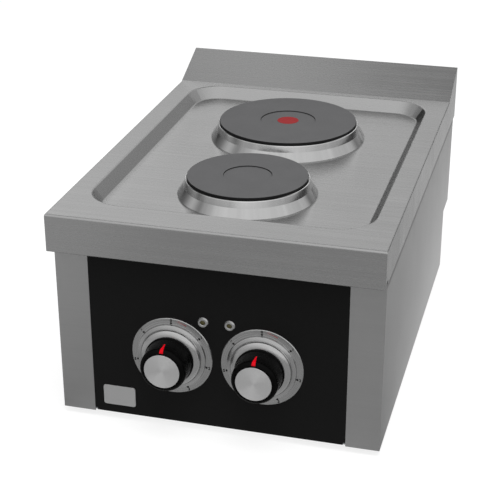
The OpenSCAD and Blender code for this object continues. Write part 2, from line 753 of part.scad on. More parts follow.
module pilot_bezel(side) color("gainsboro") place()
    forwards(side * pilot_x, setback, dial_z + pilot_rise) rotate_extrude()
        polygon([[lens_r, 0], [bezel_r, 0], [bezel_r, bezel_h / 3],
            [bezel_r - bezel_h / 2, bezel_h], [lens_r + bezel_chamfer, bezel_h],
            [lens_r, bezel_h - bezel_chamfer]]);

module pilot_lens(side) color("olive") place()
    forwards(side * pilot_x, setback, dial_z + pilot_rise) rotate_extrude()
        polygon(concat([[0, 0], [lens_r, 0]],
            [for (a = [0:15:90]) [lens_r * cos(a), bezel_h + lens_dome * (sin(a) - 1)]]));

module lamp_holder(side) color("ivory") place()
    forwards(side * pilot_x, setback + holder_len, dial_z + pilot_rise) difference() {
        union() {
            cylinder(r = holder_r, h = holder_len);
            cylinder(r = holder_r + holder_wall, h = holder_len - fascia_t - sheet_t);
        }
        translate([0, 0, -cut]) cylinder(r = holder_r - holder_wall, h = holder_len / 2);
    }

// ---- Switches and knobs ----

module rotary_switch(side) color("ivory") place()
    forwards(side * dial_x, panel_back + switch_d, dial_z) difference() {
        union() {
            translate([-switch_w / 2, -switch_h / 2, switch_cover_d])
                cube([switch_w, switch_h, switch_d - switch_cover_d]);
            translate([switch_cover_in - switch_w / 2, switch_cover_in - switch_h / 2, 0])
                cube([switch_w - 2 * switch_cover_in, switch_h - 2 * switch_cover_in,
                      switch_cover_d + cut]);
        }
        translate([0, 0, switch_d - spindle_root - cut])
            cylinder(r = spindle_r + spindle_play, h = spindle_root + 2 * cut);
        for (k = [-1, 1]) translate([0, k * switch_screw_z, switch_d - switch_screw_len - cut])
            cylinder(r = screw_r, h = switch_screw_len + 2 * cut);
    }

// Their heads bear on the fascia, hidden by the dials
module switch_screws() color("slategray") place()
    for (s = [-1, 1], k = [-1, 1]) forwards(s * dial_x, setback, dial_z + k * switch_screw_z)
        screw(fascia_t + sheet_t + switch_screw_len);

// Spindle with a flat on the part that enters the knob
module spindle(side) color("gray") place() forwards(side * dial_x, setback, dial_z) {
    knob_at = collar_h + knob_gap + hub_back;
    root = panel_back - setback + spindle_root;
    difference() {
        translate([0, 0, -root]) cylinder(r = spindle_r, h = root + knob_at + spindle_grip);
        translate([-2 * spindle_r, spindle_r - spindle_flat, knob_at - cut])
            cube([4 * spindle_r, 2 * spindle_r, spindle_grip + 2 * cut]);
    }
}

// Side of the knob from the lip to the cap, moved outwards by grow
function knob_side(grow) = concat(
    [[knob_back_r + grow, knob_lip_h + lip_slope], [knob_front_r + grow, knob_len - shoulder_r]],
    arc([knob_front_r - shoulder_r, knob_len - shoulder_r], shoulder_r + grow, 0, 88, 8));

function knob_section() = concat(
    [[0, hub_back], [hub_r, hub_back], [hub_r, knob_hollow],
     [knob_back_r - knob_wall - knob_draft, knob_hollow],
     [knob_back_r - knob_wall, 0], [knob_lip_r, 0], [knob_lip_r, knob_lip_h]],
    knob_side(0),
    [[cap_r, knob_len], [cap_r, knob_len - cap_t], [0, knob_len - cap_t]]);

// The pointer is the part of the knob's skin that lies inside a wedge
module pointer_shape(low, high) intersection() {
    end = knob_len - pointer_start;
    rotate_extrude($fn = 128) polygon(concat(knob_side(high), backwards(knob_side(-low))));
    translate([0, knob_front_r + 2 * shoulder_r, 0]) rotate([90, 0, 0])
        linear_extrude(4 * shoulder_r)
            polygon([[-pointer_w / 2, end], [pointer_w / 2, end],
                     [pointer_tip_w / 2, end - pointer_len],
                     [-pointer_tip_w / 2, end - pointer_len]]);
}

module at_knob(side) place()
    forwards(side * dial_x, setback - collar_h - knob_gap, dial_z) children();

module knob(side) color([0.07, 0.07, 0.07]) at_knob(side) difference() {
    rotate_extrude($fn = 128) polygon(knob_section());
    pointer_shape(pointer_sink, 2);
    difference() {
        translate([0, 0, hub_back - cut])
            cylinder(r = spindle_r + spindle_play, h = spindle_grip + 2 * cut);
        translate([-2 * spindle_r, spindle_r - spindle_flat + spindle_play, 0])
            cube([4 * spindle_r, 2 * spindle_r, hub_back + spindle_grip + 2 * cut]);
    }
}

module knob_pointer(side) color("red") at_knob(side) pointer_shape(pointer_sink, pointer_proud);

module knob_cap(side) color("silver") at_knob(side) translate([0, 0, knob_len - cap_t])
    rotate_extrude($fn = 128)
        polygon([[0, 0], [cap_r, 0], [cap_r, cap_t - cap_chamfer],
                 [cap_r - cap_chamfer, cap_t], [0, cap_t]]);

// ---- Connections ----

module mains_terminal_block() color("linen") place()
    translate([gland_x - mains_w / 2, notch_y - mains_in, sheet_t]) difference() {
        union() {
            cube([mains_w, mains_d, mains_base_h]);
            translate([0, (mains_d - mains_bank_d) / 2, 0]) cube([mains_w, mains_bank_d, mains_h]);
        }
        for (i = [0:mains_poles - 1]) translate([(i + 0.5) * mains_w / mains_poles, 0, 0]) {
            translate([0, mains_d / 2, mains_h / 2])
                cylinder(r = pole_screw_r, h = mains_h / 2 + cut);
            translate([0, mains_d + cut, pole_wire_z]) rotate([90, 0, 0])
                cylinder(r = pole_wire_r, h = mains_d + 2 * cut);
        }
    }

// Gland body through the lower rear skin, with a domed clamping cap outside
module cable_gland() color([0.15, 0.15, 0.15]) place()
    translate([gland_x, notch_y, gland_z]) rotate([-90, 0, 0]) difference() {
        union() {
            cylinder(r = gland_hex_r, h = gland_hex_h, $fn = 6);
            translate([0, 0, -gland_root]) cylinder(r = gland_thread_r, h = gland_root + cut);
            rotate_extrude() polygon(concat([[0, gland_hex_h - cut], [gland_cap_r, gland_hex_h - cut]],
                arc([gland_cap_r - gland_round_r, gland_reach - gland_round_r],
                    gland_round_r, 0, 90), [[0, gland_reach]]));
        }
        translate([0, 0, -gland_root - cut])
            cylinder(r = gland_bore_r, h = gland_root + gland_reach + 2 * cut);
    }

module gland_nut() color([0.15, 0.15, 0.15]) place()
    translate([gland_x, notch_y - sheet_t, gland_z]) rotate([90, 0, 0]) difference() {
        cylinder(r = gland_hex_r, h = gland_hex_h, $fn = 6);
        translate([0, 0, -cut]) cylinder(r = gland_thread_r, h = gland_hex_h + 2 * cut);
    }

module earth_stud() color("slategray") place()
    translate([earth_x, notch_y - sheet_t - earth_root, gland_z]) rotate([-90, 0, 0])
        cylinder(r = earth_r, h = earth_root + sheet_t + earth_reach);

module earth_nuts() color("goldenrod") place() {
    h = nut_h_share * earth_r;
    for (y = [notch_y - sheet_t - h, notch_y])
        translate([earth_x, y, gland_z]) rotate([-90, 0, 0]) nut(earth_r, h);
}

worktop();
side_panel(-1);  // left_side_panel
side_panel(1);  // right_side_panel
control_fascia();
switch_panel();
base_tray();
rear_panel();
foot(-1, 0);  // front_left_foot
foot(1, 0);  // front_right_foot
foot(-1, 1);  // rear_left_foot
foot(1, 1);  // rear_right_foot
foot_screws();
foot_nuts();
hotplate(front_r, front_y_at);  // front_plate
hotplate(rear_r, rear_y_at);  // rear_plate
overflow_rim(front_r, front_y_at);  // front_overflow_rim
overflow_rim(rear_r, rear_y_at);  // rear_overflow_rim
plate_cover(front_r, front_y_at);  // front_plate_cover
plate_cover(rear_r, rear_y_at);  // rear_plate_cover
plate_stud(front_y_at);  // front_plate_stud
plate_stud(rear_y_at);  // rear_plate_stud
clamp_bridge(front_r, front_y_at);  // front_clamp_bridge
clamp_bridge(rear_r, rear_y_at);  // rear_clamp_bridge
clamp_nut(front_y_at);  // front_clamp_nut
clamp_nut(rear_y_at);  // rear_clamp_nut
terminal_block(front_y_at, 1);  // front_terminal_block
terminal_block(rear_y_at, -1);  // rear_terminal_block
rotary_switch(-1);  // left_switch
rotary_switch(1);  // right_switch
switch_screws();
spindle(-1);  // left_spindle
spindle(1);  // right_spindle
dial(-1);  // left_dial
dial(1);  // right_dial
knob(-1);  // left_knob
knob(1);  // right_knob
knob_cap(-1);  // left_knob_cap
knob_cap(1);  // right_knob_cap
knob_pointer(-1);  // left_knob_pointer
knob_pointer(1);  // right_knob_pointer
pilot_bezel(-1);  // left_pilot_bezel
pilot_bezel(1);  // right_pilot_bezel
pilot_lens(-1);  // left_pilot_lens
pilot_lens(1);  // right_pilot_lens
lamp_holder(-1);  // left_lamp_holder
lamp_holder(1);  // right_lamp_holder
mains_terminal_block();
cable_gland();
gland_nut();
earth_stud();
earth_nuts();
base_screws();
rear_screws();
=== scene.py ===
"""Looks of a two-plate electric boiling top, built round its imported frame.

Metres; +X is to the right, +Y to the back and +Z up.
"""
import json
from math import cos, pi, radians, sin

import bmesh
import bpy
from mathutils import Matrix, Vector


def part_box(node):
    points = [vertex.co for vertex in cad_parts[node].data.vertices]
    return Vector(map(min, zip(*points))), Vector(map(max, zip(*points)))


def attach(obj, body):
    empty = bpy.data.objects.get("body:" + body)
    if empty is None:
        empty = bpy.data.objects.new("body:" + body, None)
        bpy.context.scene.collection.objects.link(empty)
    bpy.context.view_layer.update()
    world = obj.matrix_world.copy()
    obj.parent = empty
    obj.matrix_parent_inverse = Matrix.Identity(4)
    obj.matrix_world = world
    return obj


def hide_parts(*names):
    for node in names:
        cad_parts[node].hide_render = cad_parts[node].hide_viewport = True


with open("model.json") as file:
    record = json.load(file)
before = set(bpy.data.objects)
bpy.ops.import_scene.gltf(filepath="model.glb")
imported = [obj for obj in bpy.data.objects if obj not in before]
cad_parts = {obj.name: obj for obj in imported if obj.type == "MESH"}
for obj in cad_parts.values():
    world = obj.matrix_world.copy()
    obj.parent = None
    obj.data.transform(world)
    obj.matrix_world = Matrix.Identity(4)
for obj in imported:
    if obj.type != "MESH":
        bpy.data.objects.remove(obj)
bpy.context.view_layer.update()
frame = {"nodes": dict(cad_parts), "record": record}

MM = 0.001

# ---- Places, taken from the frame ----


def middle(node):
    """Centre of a CAD node's box."""
    low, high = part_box(node)
    return (low + high) / 2


plate_centres = [middle("front_plate"), middle("rear_plate")]
dial_centres = [middle("left_dial"), middle("right_dial")]
fascia_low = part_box("control_fascia")[0]
rear_plate_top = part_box("rear_plate")[1].z
rim_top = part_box("front_overflow_rim")[1].z
worktop_low, worktop_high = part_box("worktop")

# Lower edge of the worktop's side flanges; the apron's hem hangs a little lower
flange_edge = worktop_low.z + 2 * MM


# ---- Shader building ----

# What a noise pattern runs over, nearly everywhere
noise_span = (0.3, 0.7)
# Least part of a face's normal along an axis for the face to look along it
facing_least = 0.7


class Graph:
    """A node tree with short names for the nodes that it is built from."""

    def __init__(self, tree):
        self.tree = tree

    def feed(self, socket, value):
        """Links another node's socket to this one, or sets it to a number or a vector."""
        if isinstance(value, bpy.types.NodeSocket):
            self.tree.links.new(value, socket)
        else:
            socket.default_value = value

    def add(self, kind, inputs=None, **settings):
        """Adds a node; each input is a number, a vector or another node's socket."""
        made = self.tree.nodes.new("ShaderNode" + kind)
        for key, value in settings.items():
            setattr(made, key, value)
        for key, value in (inputs or {}).items():
            self.feed(made.inputs[key], value)
        return made

    def math(self, operation, a, b=0.0):
        return self.add("Math", {0: a, 1: b}, operation=operation).outputs[0]

    def vector(self, operation, a, b=(0, 0, 0)):
        made = self.add("VectorMath", {0: a, 1: b}, operation=operation)
        return made.outputs["Value" if operation == "LENGTH" else "Vector"]

    def split(self, value):
        """The X, Y and Z of a vector."""
        return self.add("SeparateXYZ", {0: value}).outputs

    def ranged(self, value, low, high, start, end):
        """Maps start..end of a value onto low..high, and holds it there outside."""
        return self.add("MapRange", {"Value": value, "From Min": start, "From Max": end,
                                     "To Min": low, "To Max": high}).outputs["Result"]

    def rising(self, value, start, end):
        """0 up to start, 1 from end on, and a straight slope between."""
        return self.ranged(value, 0, 1, start, end)

    def mix(self, factor, a, b, kind="FLOAT"):
        """Blends two numbers or two vectors: a where the factor is 0, b where it is 1."""
        made = self.add("Mix", {"Factor": factor}, data_type=kind)
        for name, value in (("A", a), ("B", b)):
            self.feed([s for s in made.inputs if s.name == name and s.enabled][0], value)
        return [s for s in made.outputs if s.enabled][0]

    def chain(self, operation, values):
        """Works an operation through all of the values in turn."""
        result = values[0]
        for value in values[1:]:
            result = self.math(operation, result, value)
        return result

    def times(self, *factors):
        """Product of the factors: 1 where all of them are 1."""
        return self.chain("MULTIPLY", factors)

    def largest(self, *factors):
        """Largest of the factors: 1 where any of them is 1."""
        return self.chain("MAXIMUM", factors)

    def without(self, factor):
        """1 where the factor is 0, and 0 where it is 1."""
        return self.math("SUBTRACT", 1, factor)


class Finish(Graph):
    """One material: constants go straight on the shader's sockets, patterns are linked on top."""

    def __init__(self, name, colour, **sockets):
        self.material = bpy.data.materials.new(name)
        self.material.use_nodes = True
        super().__init__(self.material.node_tree)
        self.shader = self.tree.nodes["Principled BSDF"]
        self.shader.inputs["Base Color"].default_value = (*colour, 1)
        self.colour = colour
        for socket, value in sockets.items():
            self.shader.inputs[socket.replace("_", " ")].default_value = value

    def place(self):
        """Object coordinates, in metres."""
        return self.add("TexCoord").outputs["Object"]

    def normal(self):
        """The way the surface faces, in the object's own axes."""
        return self.add("TexCoord").outputs["Normal"]

    def noise(self, size, where=None, detail=2.0, stretch=(1, 1, 1)):
        """Noise whose blobs are about size metres, drawn out along each axis by stretch."""
        scale = [1 / (size * s) for s in stretch]
        spread = self.add("Mapping", {"Vector": where or self.place(), "Scale": scale})
        return self.add("TexNoise", {"Vector": spread.outputs[0], "Scale": 1.0,
                                     "Detail": detail}).outputs[0]

    def blend(self, a, b, share):
        """Sum of two patterns, with a's share of it."""
        return self.math("ADD", self.times(a, share), self.times(b, 1 - share))

    def varied(self, pattern, low, high):
        """Spreads a noise pattern over low to high."""
        return self.ranged(pattern, low, high, *noise_span)

    def tint(self, factor):
        """Multiplies the colour by a factor that varies over the surface."""
        made = self.add("VectorMath", {0: self.colour, "Scale": factor}, operation="SCALE")
        self.feed(self.shader.inputs["Base Color"], made.outputs["Vector"])

    def rough(self, pattern, low, high):
        """Varies the roughness between low and high by a pattern."""
        self.feed(self.shader.inputs["Roughness"], self.varied(pattern, low, high))

    def bump(self, pattern, depth, strength):
        """Raises the surface by a pattern, depth metres from its lowest to its highest."""
        bump = self.add("Bump", {"Height": pattern, "Distance": depth, "Strength": strength})
        self.feed(self.shader.inputs["Normal"], bump.outputs[0])

    def grain(self, direction):
        """Brushes the metal along a direction in the object's own axes: glints spread across it."""
        across = self.vector("CROSS_PRODUCT", self.normal(), direction)
        tangent = self.add("VectorTransform", {"Vector": across}, vector_type="VECTOR",
                           convert_from="OBJECT", convert_to="WORLD")
        self.feed(self.shader.inputs["Tangent"], tangent.outputs[0])

    def spoke(self, centres, flat):
        """Vector from the nearest centre's axis; flat is 0 along the axis and 1 across it."""
        place = self.vector("MULTIPLY", self.place(), flat)
        spokes = [self.vector("SUBTRACT", place, [c * f for c, f in zip(centre, flat)])
                  for centre in centres]
        reach = [self.vector("LENGTH", spoke) for spoke in spokes]
        return self.mix(self.math("GREATER_THAN", *reach), *spokes, kind="VECTOR")

    def beyond(self, axis, limit):
        """1 where the place along an axis is past the limit, 0 elsewhere."""
        return self.math("GREATER_THAN", self.split(self.place())[axis], limit)

    def facing(self, axis):
        """1 on faces that look one way or the other along an axis, 0 elsewhere."""
        along = self.math("ABSOLUTE", self.split(self.normal())[axis])
        return self.math("GREATER_THAN", along, facing_least)


# ---- Brushed sheet ----

streak_sizes = (0.35 * MM, 1.6 * MM)
streak_stretch = 260
streak_share = 0.7
streak_depth, streak_strength = 0.01 * MM, 0.07
smudge_size = 60 * MM
smoother_by, rougher_by = 0.04, 0.05
sheet_tones = (0.98, 1.02)
along_x, along_y, along_z = (1, 0, 0), (0, 1, 0), (0, 0, 1)


def brushed(name, grey, roughness, upright):
    """Satin stainless: fine grain along X, and along Y (or up, if upright) on the side faces.

    Returns the finish, its tone and where the side faces are.
    """
    finish = Finish(name, (grey, grey, grey), Metallic=1.0, Anisotropic=0.75)
    side = finish.facing("X")
    side_way = along_z if upright else along_y
    stretches = [[streak_stretch if part else 1 for part in way] for way in (along_x, side_way)]
    fine, coarse = [finish.mix(side, *(finish.noise(size, stretch=s) for s in stretches))
                    for size in streak_sizes]
    pattern = finish.blend(coarse, finish.noise(smudge_size, detail=3.0), streak_share)
    finish.rough(pattern, roughness - smoother_by, roughness + rougher_by)
    finish.bump(fine, streak_depth, streak_strength)
    finish.grain(finish.mix(side, along_x, side_way, kind="VECTOR"))
    return finish, finish.varied(pattern, *sheet_tones), side


# Side faces of the worktop: tones of the painted shade on the flanges, of the darker painted shade
# along their cut edges and of the painted shade on the well's right wall
flange_shade_tone, edge_shade_tone, wall_shade_tone = 0.8, 0.35, 0.2
# How far the painted shade runs in from the flanges' rear edge and up from their lower edge
rear_shade_w, lower_shade_h = 1.4 * MM, 1.2 * MM
well_side = worktop_high.x - 12 * MM


def worktop_finish():
    """Brushed worktop with painted shade on its side faces, darker along the flanges' cut rear and
    lower edges and darkest on the well's right wall.
    """
    finish, tone, side = brushed("brushed worktop steel", grey=0.5, roughness=0.26,
                                 upright=True)
    # Painted shade: side faces darker, darker still along the flanges' rear and lower edges,
    # darkest on the well's right wall
    edge_shade = finish.largest(finish.beyond("Y", worktop_high.y - rear_shade_w),
                         finish.without(finish.beyond("Z", flange_edge + lower_shade_h)))
    side_shade = finish.mix(side, 1.0, finish.mix(edge_shade, flange_shade_tone, edge_shade_tone))
    wall_shade = finish.times(side, finish.beyond("X", 0), finish.without(finish.beyond("X", well_side)))
    finish.tint(finish.times(tone, side_shade, finish.mix(wall_shade, 1.0, wall_shade_tone)))
    return finish


# Painted shadow on the side panels, from the flanges' lower edge down
flange_shadow_h, flange_shadow_fade, flange_shadow_tone = 10.5 * MM, 2 * MM, 0.5


def housing_finish():
    """Brushed housing with a painted shadow under the worktop's side flanges."""
    finish, tone, side = brushed("brushed housing steel", grey=0.5, roughness=0.34,
                                 upright=True)
    # Painted shadow of the flanges, fading out at its lower end
    flange_shadow_start = flange_edge - flange_shadow_h
    flange_shadow = finish.rising(finish.split(finish.place())["Z"], flange_shadow_start, flange_shadow_start + flange_shadow_fade)
    finish.tint(finish.times(tone, finish.mix(finish.times(side, flange_shadow), 1.0, flange_shadow_tone)))
    return finish


def badge_finish():
    """Brushed blank plate."""
    finish, tone, _ = brushed("brushed badge plate", grey=0.66, roughness=0.5, upright=False)
    finish.tint(tone)
    return finish


# ---- Turned and drawn metal ----

plates_flat, dials_flat = (1, 1, 0), (1, 0, 1)
ring_detail = 3.0


def turned(name, colour, centres, flat, pitch, **sockets):
    """Metal with the fine rings that a lathe leaves round each centre.

    Returns the finish, the vector out from the nearest centre's axis, and the rings.
    """
    finish = Finish(name, colour, **sockets)
    spoke = finish.spoke(centres, flat)
    axis = [1 - f for f in flat]
    finish.grain(finish.vector("CROSS_PRODUCT", axis, spoke))
    count = finish.math("DIVIDE", finish.vector("LENGTH", spoke), pitch)
    rings = finish.add("TexNoise", {"W": count, "Scale": 1.0, "Detail": ring_detail},
                       noise_dimensions="1D").outputs[0]
    return finish, spoke, rings


# Rims: painted shade on the lip, on the side to the front only, and a painted highlight under it
lip_h, lip_shade_tone = 0.55 * MM, 0.08
# Where the lip's painted shade is whole and where it is gone, by how far the way out turns to the
# front
lip_shade_whole, lip_shade_gone = -0.75, -0.45
glint_h, glint_tone = 1.5 * MM, 1.45
rim_streak = 0.12
rim_streak_span = (0.35, 0.65)


def rim_finish():
    """Bright drawn rim, with painted shade along the front of its upper lip and a painted highlight
    along its top.
    """
    finish, spoke, rings = turned("polished rim steel", (0.62, 0.62, 0.62), plate_centres,
                                  plates_flat, pitch=0.6 * MM, Metallic=1.0, Anisotropic=0.6)
    outward = finish.vector("NORMALIZE", spoke)
    streaks = finish.noise(rim_streak, outward)
    # Painted shade on the lip's front side, and a painted highlight along the top of the rim
    lip_shade = finish.times(finish.beyond("Z", rim_top - lip_h),
                            finish.ranged(finish.split(outward)["Y"], 1, 0,
                                          lip_shade_whole, lip_shade_gone))
    glint = finish.mix(finish.beyond("Z", rim_top - glint_h), 1.0, glint_tone)
    finish.tint(finish.times(finish.ranged(streaks, 0.93, 1.04, *rim_streak_span),
                             finish.mix(lip_shade, glint, lip_shade_tone)))
    finish.rough(streaks, 0.12, 0.18)
    finish.bump(rings, 0.01 * MM, 0.2)
    return finish


grit_size, patch_size = 0.9 * MM, 35 * MM
casting_ring_share = 0.6
casting_edge_tone = 0.12


def iron_finish():
    """Coated casting: fine turned rings on the face and a darker edge band."""
    finish, _, rings = turned("coated cast iron", (0.084, 0.084, 0.086), plate_centres,
                              plates_flat, pitch=0.8 * MM, IOR=1.45, Specular_IOR_Level=0.3)
    grit = finish.noise(grit_size, detail=4.0)
    pattern = finish.blend(rings, grit, casting_ring_share)
    patch = finish.varied(finish.noise(patch_size, detail=3.0), 0.96, 1.05)
    band = finish.mix(finish.facing("Z"), casting_edge_tone, 1.0)
    finish.tint(finish.times(finish.varied(pattern, 0.92, 1.1), patch, band))
    finish.rough(grit, 0.55, 0.68)
    finish.bump(pattern, 0.05 * MM, 0.5)
    return finish


# Painted shade: the dials' scale ring is a little darker than the collar inside it
collar_r, scale_r, scale_ring_shade_tone = 36.4 * MM, 36.9 * MM, 0.87


def dial_finish():
    """Spun dial: scale ring in painted shade, a little darker than the collar round the knob."""
    finish, spoke, rings = turned("turned dial aluminium", (0.62, 0.62, 0.62), dial_centres,
                                  dials_flat, pitch=0.5 * MM, Metallic=1.0, Anisotropic=0.6)
    # Painted shade on the scale ring, outside the collar
    scale = finish.ranged(finish.vector("LENGTH", spoke), 1.0, scale_ring_shade_tone, collar_r, scale_r)
    finish.tint(finish.times(scale, finish.varied(rings, 0.92, 1.06)))
    finish.rough(rings, 0.2, 0.28)
    finish.bump(rings, 0.015 * MM, 0.3)
    return finish


def cap_finish():
    """Face of a knob's cap, brushed in rings."""
    finish, _, rings = turned("brushed cap aluminium", (0.97, 0.97, 0.97), dial_centres,
                              dials_flat, pitch=0.35 * MM, Metallic=1.0, Anisotropic=0.8)
    finish.tint(finish.varied(rings, 0.93, 1.02))
    finish.rough(rings, 0.34, 0.42)
    finish.bump(rings, 0.01 * MM, 0.3)
    return finish


# ---- Plain finishes ----

mottle_tones = (0.92, 1.07)
mottle_depth, mottle_strength = 0.01 * MM, 0.3


def simple(name, colour, size, low, high, metallic=0.0, specular=0.5):
    """A moulded, painted or plated finish with a faint mottle, low to high in roughness."""
    finish = Finish(name, colour, Metallic=metallic, Specular_IOR_Level=specular)
    mottle = finish.noise(size, detail=3.0)
    finish.tint(finish.varied(mottle, *mottle_tones))
    finish.rough(mottle, low, high)
    finish.bump(mottle, mottle_depth, mottle_strength)
    return finish


# By the record's slots; simple ones give name, colour, mottle size, lowest and highest roughness
finishes = {
    "brushed_worktop": worktop_finish(),
    "brushed_housing": housing_finish(),
    "plain_sheet": simple("mill-finish sheet", (0.45, 0.46, 0.47), 9 * MM, 0.36, 0.5, metallic=1.0),
    "polished_rim": rim_finish(),
    "cast_iron": iron_finish(),
    "black_fascia": simple("satin black fascia", (0.0085, 0.0085, 0.0085), 2.5 * MM, 0.42, 0.5,
                           specular=0.12),
    "dial_metal": dial_finish(),
    "knob_black": simple("satin black knob", (0.002, 0.002, 0.002), 6 * MM, 0.22, 0.3,
                         specular=0.06),
    "cap_metal": cap_finish(),
    "pointer_red": simple("red enamel", (0.62, 0.002, 0.01), 1.5 * MM, 0.28, 0.38, specular=0.1),
    "pilot_chrome": simple("pilot chrome", (0.6, 0.6, 0.6), 3 * MM, 0.2, 0.28, metallic=1.0),
    "pilot_amber": simple("olive pilot lens", (0.07, 0.06, 0.015), 1 * MM, 0.12, 0.2),
    "switch_plastic": simple("switch plastic", (0.62, 0.6, 0.52), 2 * MM, 0.4, 0.55),
    "ceramic": simple("unglazed ceramic", (0.74, 0.7, 0.62), 1 * MM, 0.6, 0.8),
    "zinc_steel": simple("zinc-plated steel", (0.52, 0.53, 0.55), 2 * MM, 0.25, 0.4, metallic=1.0),
    "brass": simple("brass", (0.6, 0.42, 0.16), 2 * MM, 0.25, 0.4, metallic=1.0),
    "gland_nylon": simple("moulded nylon", (0.022, 0.022, 0.022), 0.8 * MM, 0.45, 0.6),
    "foot_rubber": simple("foot rubber", (0.018, 0.018, 0.018), 0.6 * MM, 0.7, 0.9),
}
scale_ink = simple("scale ink", (0.008, 0.008, 0.008), 0.5 * MM, 0.5, 0.65, specular=0.2)
red_ink = simple("red scale ink", (0.34, 0.09, 0.09), 0.5 * MM, 0.5, 0.65, specular=0.2)
red_enamel = simple("red plate enamel", (0.225, 0.011, 0.013), 1.2 * MM, 0.55, 0.68, specular=0.25)

for part in frame["record"]["subparts"]:
    shown = frame["nodes"][part["node"]]
    if not shown.material_slots:
        shown.data.materials.append(None)
    for slot in shown.material_slots:
        slot.material = finishes[part["material_slot"]].material


# ---- Shapes ----


def add_to_scene(name, data):
    """A new object in the scene, at the origin."""
    made = bpy.data.objects.new(name, data)
    bpy.context.scene.collection.objects.link(made)
    return made


def from_bmesh(name, shape):
    """Turns a finished shape into a mesh whose faces look outwards."""
    bmesh.ops.recalc_face_normals(shape, faces=shape.faces)
    mesh = bpy.data.meshes.new(name)
    shape.to_mesh(mesh)
    shape.free()
    return mesh


def piece(name, mesh, finish, body):
    """Adds a finished mesh to the scene and lets it ride on a body."""
    made = add_to_scene(name, mesh)
    made.data.materials.clear()
    made.data.materials.append(finish.material)
    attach(made, body)
    return made


def soften(shape, limit=radians(30)):
    """Smooth shading that keeps every edge sharper than the limit crisp."""
    for face in shape.faces:
        face.smooth = True
    for edge in shape.edges:
        edge.smooth = edge.calc_face_angle(pi) < limit


def turned_solid(shape, section, centre, steps):
    """Spins a closed section of (radius, height) points; its height runs out of the front."""
    corners = [shape.verts.new((centre.x + r, centre.y - h, centre.z)) for r, h in section]
    edges = [shape.edges.new((a, b)) for a, b in zip(corners, corners[1:] + corners[:1])]
    bmesh.ops.spin(shape, geom=corners + edges, cent=centre, axis=(0, 1, 0), angle=2 * pi,
                   steps=steps, use_merge=True)
    soften(shape)


def disc(shape, radius, thickness, place, segments):
    """A thin closed disc that stands on place along its own +Z."""
    bmesh.ops.create_cone(shape, cap_ends=True, segments=segments, radius1=radius, radius2=radius,
                          depth=thickness, matrix=place @ Matrix.Translation((0, 0, thickness / 2)))


def prism(shape, outline, thickness, place):
    """Raises a flat outline, given as (x, y) points, along its own +Z."""
    corners = [shape.verts.new(place @ Vector((x, y, 0))) for x, y in outline]
    face = shape.faces.new(corners)
    grown = bmesh.ops.extrude_face_region(shape, geom=[face])["geom"]
    rise = place.to_3x3() @ Vector((0, 0, thickness))
    bmesh.ops.translate(shape, verts=[v for v in grown if isinstance(v, bmesh.types.BMVert)],
                        vec=rise)


def facing_front(x, y, z):
    """A place whose +Z looks out of the front and whose +Y is up."""
    return Matrix.Translation((x, y, z)) @ Matrix.Rotation(pi / 2, 4, "X")


def lettering(name, text, height, thickness, boldness):
    """A raised text as a mesh about its own middle, facing +Z."""
    curve = bpy.data.curves.new(name, "FONT")
    curve.body = text
    curve.size = height
    curve.align_x = "CENTER"
    curve.align_y = "CENTER"
    curve.extrude = thickness / 2
    curve.offset = boldness
    holder = add_to_scene(name, curve)
    bpy.context.view_layer.update()
    shown = holder.evaluated_get(bpy.context.evaluated_depsgraph_get())
    mesh = bpy.data.meshes.new_from_object(shown)
    bpy.data.objects.remove(holder)
    bpy.data.curves.remove(curve)
    return mesh


def rounded_outline(width, height, corner, steps):
    """Points round a rectangle with rounded corners, counter-clockwise about its middle."""
    outline = []
    for turn, (sx, sy) in enumerate(((1, 1), (-1, 1), (-1, -1), (1, -1))):
        for i in range(steps + 1):
            angle = (turn + i / steps) * pi / 2
            outline.append((sx * (width / 2 - corner) + corner * cos(angle),
                            sy * (height / 2 - corner) + corner * sin(angle)))
    return outline


# ---- Dials ----

# Section in millimetres, from the outer edge in to the hole and back behind
dial_section = ((49, 0), (49, 0.4), (48.7, 0.9), (48.2, 1.2), (41.9, 1.2), (41.5, 1.35),
                (41.2, 1.8), (41.1, 3.2), (40.9, 3.7), (40.4, 4), (37.1, 5.2), (36.7, 5.1),
                (36.4, 5.4), (35.9, 7.2), (35.6, 7.8), (35, 8.3), (30.2, 10.5), (10, 10.5),
                (10, 9.3), (29.8, 9.3), (34.6, 6.6), (35.6, 4), (39.8, 2.7), (40, 0))
dial_steps = 192
dial_ring_t = 1.2 * MM
dial_face = fascia_low.y - dial_ring_t

# Printed scale: a dot and a number at each switch position, and a red arc that grows with the heat
mark_t = 0.06 * MM
positions = 7
dot_radius, dot_r, dot_steps = 42.9 * MM, 1.35 * MM, 16
number_radius, number_size, number_bold = 46.3 * MM, 5 * MM, 0.2 * MM
wedge_radius, wedge_w = 46 * MM, 1.4 * MM
wedge_start, wedge_end, wedge_steps = 83, 66, 8


def dial_turning(side, centre):
    """The dial with its stepped collar, in place of the plain solid."""
    shape = bmesh.new()
    place = Vector((centre.x, fascia_low.y, centre.z))
    turned_solid(shape, [(r * MM, h * MM) for r, h in dial_section], place, dial_steps)
    mesh = from_bmesh(side + "_dial_turning", shape)
    made = piece(side + "_dial_turning", mesh, finishes["dial_metal"], "housing")
    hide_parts(side + "_dial")


def dial_scale(side, centre):
    """Dots and numbers clockwise from the top."""
    shape = bmesh.new()
    for step in range(positions):
        angle = pi / 2 - 2 * pi * step / positions
        out = Vector((cos(angle), 0, sin(angle)))
        spot = centre + out * dot_radius
        disc(shape, dot_r, mark_t, facing_front(spot.x, dial_face, spot.z), dot_steps)
        number = lettering("number", str(step), number_size, mark_t, number_bold)
        spot = centre + out * number_radius
        number.transform(facing_front(spot.x, dial_face - mark_t / 2, spot.z))
        shape.from_mesh(number)
        bpy.data.meshes.remove(number)
    mesh = from_bmesh(side + "_dial_scale", shape)
    piece(side + "_dial_scale", mesh, scale_ink, "housing")


